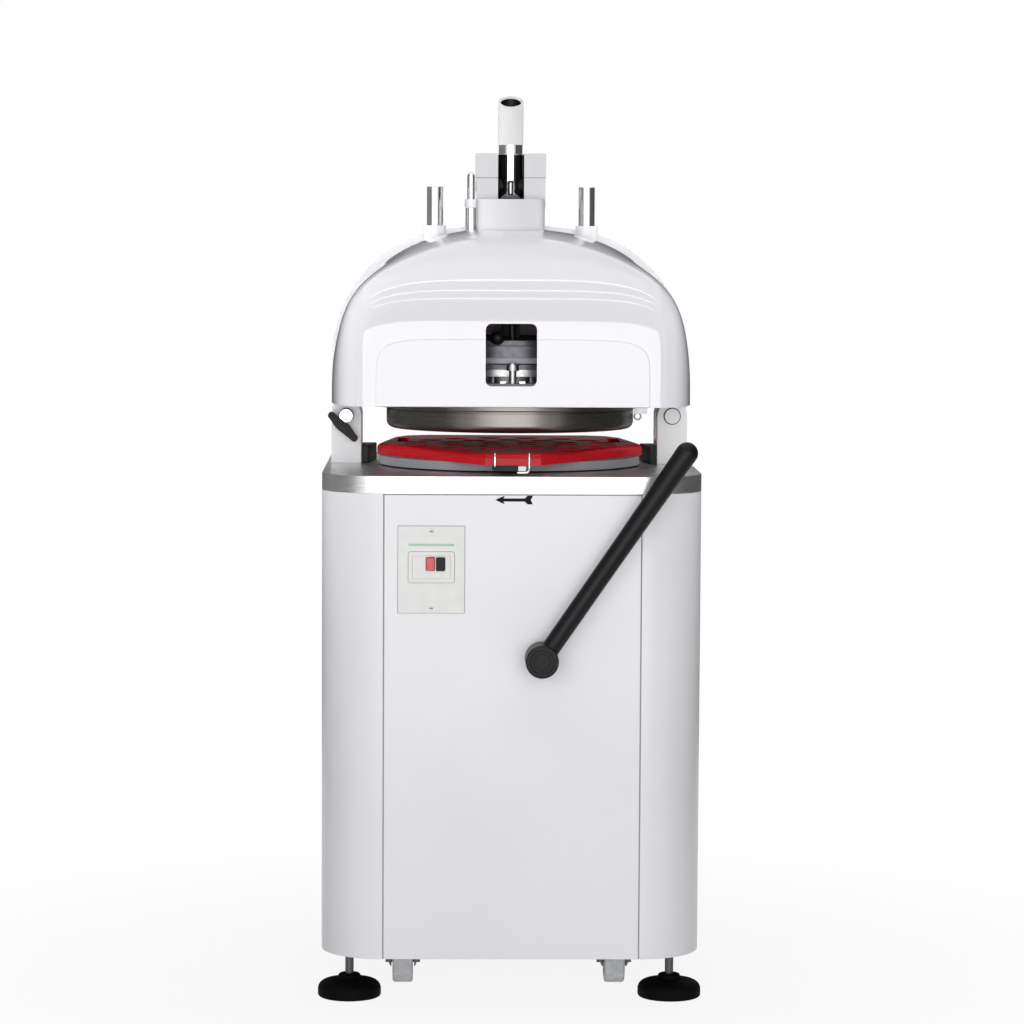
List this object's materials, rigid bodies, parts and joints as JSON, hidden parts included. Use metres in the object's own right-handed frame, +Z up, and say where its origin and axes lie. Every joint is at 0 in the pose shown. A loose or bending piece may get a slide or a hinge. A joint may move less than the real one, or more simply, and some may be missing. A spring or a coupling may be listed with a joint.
{
  "type": "dough divider rounder",
  "caption": "Floor-standing bakery machine with a cabinet, an orbiting table with a sliding mould plate, and a domed tilting press head worked by a lever.",
  "frame": {"origin": "on the floor under the press axis, at the middle of the box round the machine", "axes": "+X to the right seen from the front, +Y to the back, +Z up; the front faces -Y"},
  "size_m": [0.632, 0.74, 1.4884],
  "materials": {
    "white_paint": "gloss white paint",
    "steel_band": "brushed",
    "machined_steel": "ground",
    "chrome": "polished",
    "frame_steel": "dark grey paint",
    "cast_grey": "machined casting",
    "table_alloy": "turned",
    "ring_alloy": "dark turned",
    "red_plastic": "gloss",
    "stop_red": "gloss",
    "black_plastic": "fine grain",
    "black_rubber": "matt",
    "pale_plastic": "satin",
    "grey_wheel": "satin",
    "motor_paint": "blue-grey paint"
  },
  "bodies": {
    "base": {"base_plate": "frame_steel", "side_plates": "frame_steel", "bed_plate": "frame_steel", "left_side_panel": "white_paint", "right_side_panel": "white_paint", "front_panel": "white_paint", "rear_panel": "white_paint", "worktop": "steel_band", "cable_gland": "black_plastic", "left_upright": "white_paint", "right_upright": "white_paint", "plate_guides": "black_plastic", "control_plate": "pale_plastic", "switch_housing": "pale_plastic", "lever_bearings": "cast_grey", "guide_posts": "machined_steel", "hinge_pin": "chrome", "rear_forks": "frame_steel"},
    "start_button": {"start_button": "black_plastic"},
    "stop_button": {"stop_button": "stop_red"},
    "rounding_lever": {"cam_shaft": "machined_steel", "rounding_lever": "black_plastic"},
    "carriage": {"carriage": "cast_grey", "motor": "motor_paint", "drive_belt": "black_rubber", "main_bearings": "machined_steel"},
    "motor_rotor": {"motor_rotor": "machined_steel"},
    "eccentric": {"eccentric_shaft": "machined_steel", "main_pulley": "cast_grey"},
    "idler_left": {"idler_crank_left": "machined_steel"},
    "idler_right": {"idler_crank_right": "machined_steel"},
    "table": {"rounding_table": "table_alloy"},
    "mould_plate": {"mould_plate": "red_plastic"},
    "plate_latch": {"plate_latch": "black_plastic"},
    "head": {"head_frame": "white_paint", "head_plate": "frame_steel", "front_cover": "white_paint", "rear_cover": "white_paint", "lever_housing": "white_paint", "return_spring": "machined_steel"},
    "clamp_knob": {"clamp_knob": "black_plastic"},
    "press_lever": {"pinion_shaft": "machined_steel", "press_lever": "chrome", "lever_grip": "pale_plastic"},
    "press": {"press_head": "table_alloy", "guide_rods": "chrome", "press_column": "machined_steel"},
    "ring": {"retaining_ring": "ring_alloy", "ring_hangers": "machined_steel"},
    "knife": {"knife_set": "machined_steel", "knife_rod": "chrome"},
    "catch_lever": {"catch_lever": "black_plastic"},
    "foot_left": {"levelling_foot_left": "black_rubber"},
    "foot_right": {"levelling_foot_right": "black_rubber"},
    "swivel_left": {"swivel_fork_left": "frame_steel"},
    "swivel_right": {"swivel_fork_right": "frame_steel"},
    "front_wheel_left": {"front_wheel_left": "grey_wheel"},
    "front_wheel_right": {"front_wheel_right": "grey_wheel"},
    "rear_wheel_left": {"rear_wheel_left": "grey_wheel"},
    "rear_wheel_right": {"rear_wheel_right": "grey_wheel"}
  },
  "joints": [
    {"name": "start_press", "type": "slide", "parent": "base", "child": "start_button", "axis": [0, 1, 0], "range_m": [0, 0.003], "stiffness_N_per_m": 400},
    {"name": "stop_press", "type": "slide", "parent": "base", "child": "stop_button", "axis": [0, 1, 0], "range_m": [0, 0.003], "stiffness_N_per_m": 400},
    {"name": "rounding_lever_swing", "type": "hinge", "parent": "base", "child": "rounding_lever", "pos_m": [0.0465, -0.2, 0.5745], "axis": [0, -1, 0], "range_deg": [0, 70]},
    {"name": "carriage_lift", "type": "slide", "parent": "base", "child": "carriage", "axis": [0, 0, 1], "range_m": [0, 0.0081]},
    {"name": "eccentric_spin", "type": "hinge", "parent": "carriage", "child": "eccentric", "pos_m": [0, 0, 0.7], "axis": [0, 0, 1], "continuous": true},
    {"name": "motor_spin", "type": "hinge", "parent": "carriage", "child": "motor_rotor", "pos_m": [0, 0.165, 0.7], "axis": [0, 0, 1], "continuous": true},
    {"name": "idler_left_spin", "type": "hinge", "parent": "carriage", "child": "idler_left", "pos_m": [-0.095, 0.055, 0.7], "axis": [0, 0, 1], "continuous": true},
    {"name": "idler_right_spin", "type": "hinge", "parent": "carriage", "child": "idler_right", "pos_m": [0.095, 0.055, 0.7], "axis": [0, 0, 1], "continuous": true},
    {"name": "table_orbit", "type": "hinge", "parent": "eccentric", "child": "table", "pos_m": [0, 0.012, 0.85], "axis": [0, 0, 1], "continuous": true},
    {"name": "mould_plate_slide", "type": "slide", "parent": "table", "child": "mould_plate", "axis": [0, 1, 0], "range_m": [-0.4, 0]},
    {"name": "latch_turn", "type": "hinge", "parent": "mould_plate", "child": "plate_latch", "pos_m": [-0.012, -0.24, 0.878], "axis": [0, 0, 1], "range_deg": [0, 35]},
    {"name": "head_tilt", "type": "hinge", "parent": "base", "child": "head", "pos_m": [0.2765, 0.08, 0.948], "axis": [0, 1, 0], "range_deg": [0, 90]},
    {"name": "clamp_turn", "type": "hinge", "parent": "base", "child": "clamp_knob", "pos_m": [-0.2765, 0.08, 0.948], "axis": [0, -1, 0], "range_deg": [0, 90]},
    {"name": "press_lever_swing", "type": "hinge", "parent": "head", "child": "press_lever", "pos_m": [0, 0.045, 1.336], "axis": [1, 0, 0], "range_deg": [0, 60]},
    {"name": "press_slide", "type": "slide", "parent": "head", "child": "press", "axis": [0, 0, -1], "range_m": [0, 0.03], "deforming": ["return_spring"]},
    {"name": "ring_slide", "type": "slide", "parent": "head", "child": "ring", "axis": [0, 0, -1], "range_m": [0, 0.0191]},
    {"name": "knife_slide", "type": "slide", "parent": "press", "child": "knife", "axis": [0, 0, -1], "range_m": [0, 0.0201]},
    {"name": "catch_turn", "type": "hinge", "parent": "press", "child": "catch_lever", "pos_m": [0, -0.165, 1.09], "axis": [0, 0, 1], "range_deg": [0, 90]},
    {"name": "foot_left_turn", "type": "hinge", "parent": "base", "child": "foot_left", "pos_m": [-0.264, -0.2, 0.05], "axis": [0, 0, 1], "continuous": true},
    {"name": "foot_right_turn", "type": "hinge", "parent": "base", "child": "foot_right", "pos_m": [0.264, -0.2, 0.05], "axis": [0, 0, 1], "continuous": true},
    {"name": "swivel_left_turn", "type": "hinge", "parent": "base", "child": "swivel_left", "pos_m": [-0.177, -0.13, 0.09], "axis": [0, 0, 1], "continuous": true},
    {"name": "swivel_right_turn", "type": "hinge", "parent": "base", "child": "swivel_right", "pos_m": [0.177, -0.13, 0.09], "axis": [0, 0, 1], "continuous": true},
    {"name": "front_wheel_left_spin", "type": "hinge", "parent": "swivel_left", "child": "front_wheel_left", "pos_m": [-0.177, -0.11, 0.042], "axis": [1, 0, 0], "continuous": true},
    {"name": "front_wheel_right_spin", "type": "hinge", "parent": "swivel_right", "child": "front_wheel_right", "pos_m": [0.177, -0.11, 0.042], "axis": [1, 0, 0], "continuous": true},
    {"name": "rear_wheel_left_spin", "type": "hinge", "parent": "base", "child": "rear_wheel_left", "pos_m": [-0.23, 0.29, 0.038], "axis": [1, 0, 0], "continuous": true},
    {"name": "rear_wheel_right_spin", "type": "hinge", "parent": "base", "child": "rear_wheel_right", "pos_m": [0.23, 0.29, 0.038], "axis": [1, 0, 0], "continuous": true}
  ],
  "couplings": [
    {"joint": "carriage_lift", "follows": "rounding_lever_swing", "m_per_rad": 0.0065481},
    {"joint": "motor_spin", "follows": "eccentric_spin", "ratio": 2.5882},
    {"joint": "idler_left_spin", "follows": "eccentric_spin", "ratio": 1},
    {"joint": "idler_right_spin", "follows": "eccentric_spin", "ratio": 1},
    {"joint": "table_orbit", "follows": "eccentric_spin", "ratio": -1},
    {"joint": "press_slide", "follows": "press_lever_swing", "m_per_rad": 0.0285},
    {"joint": "ring_slide", "follows": "press_lever_swing", "m_per_rad": 0.018144},
    {"joint": "knife_slide", "follows": "press_lever_swing", "m_per_rad": 0.019099}
  ]
}
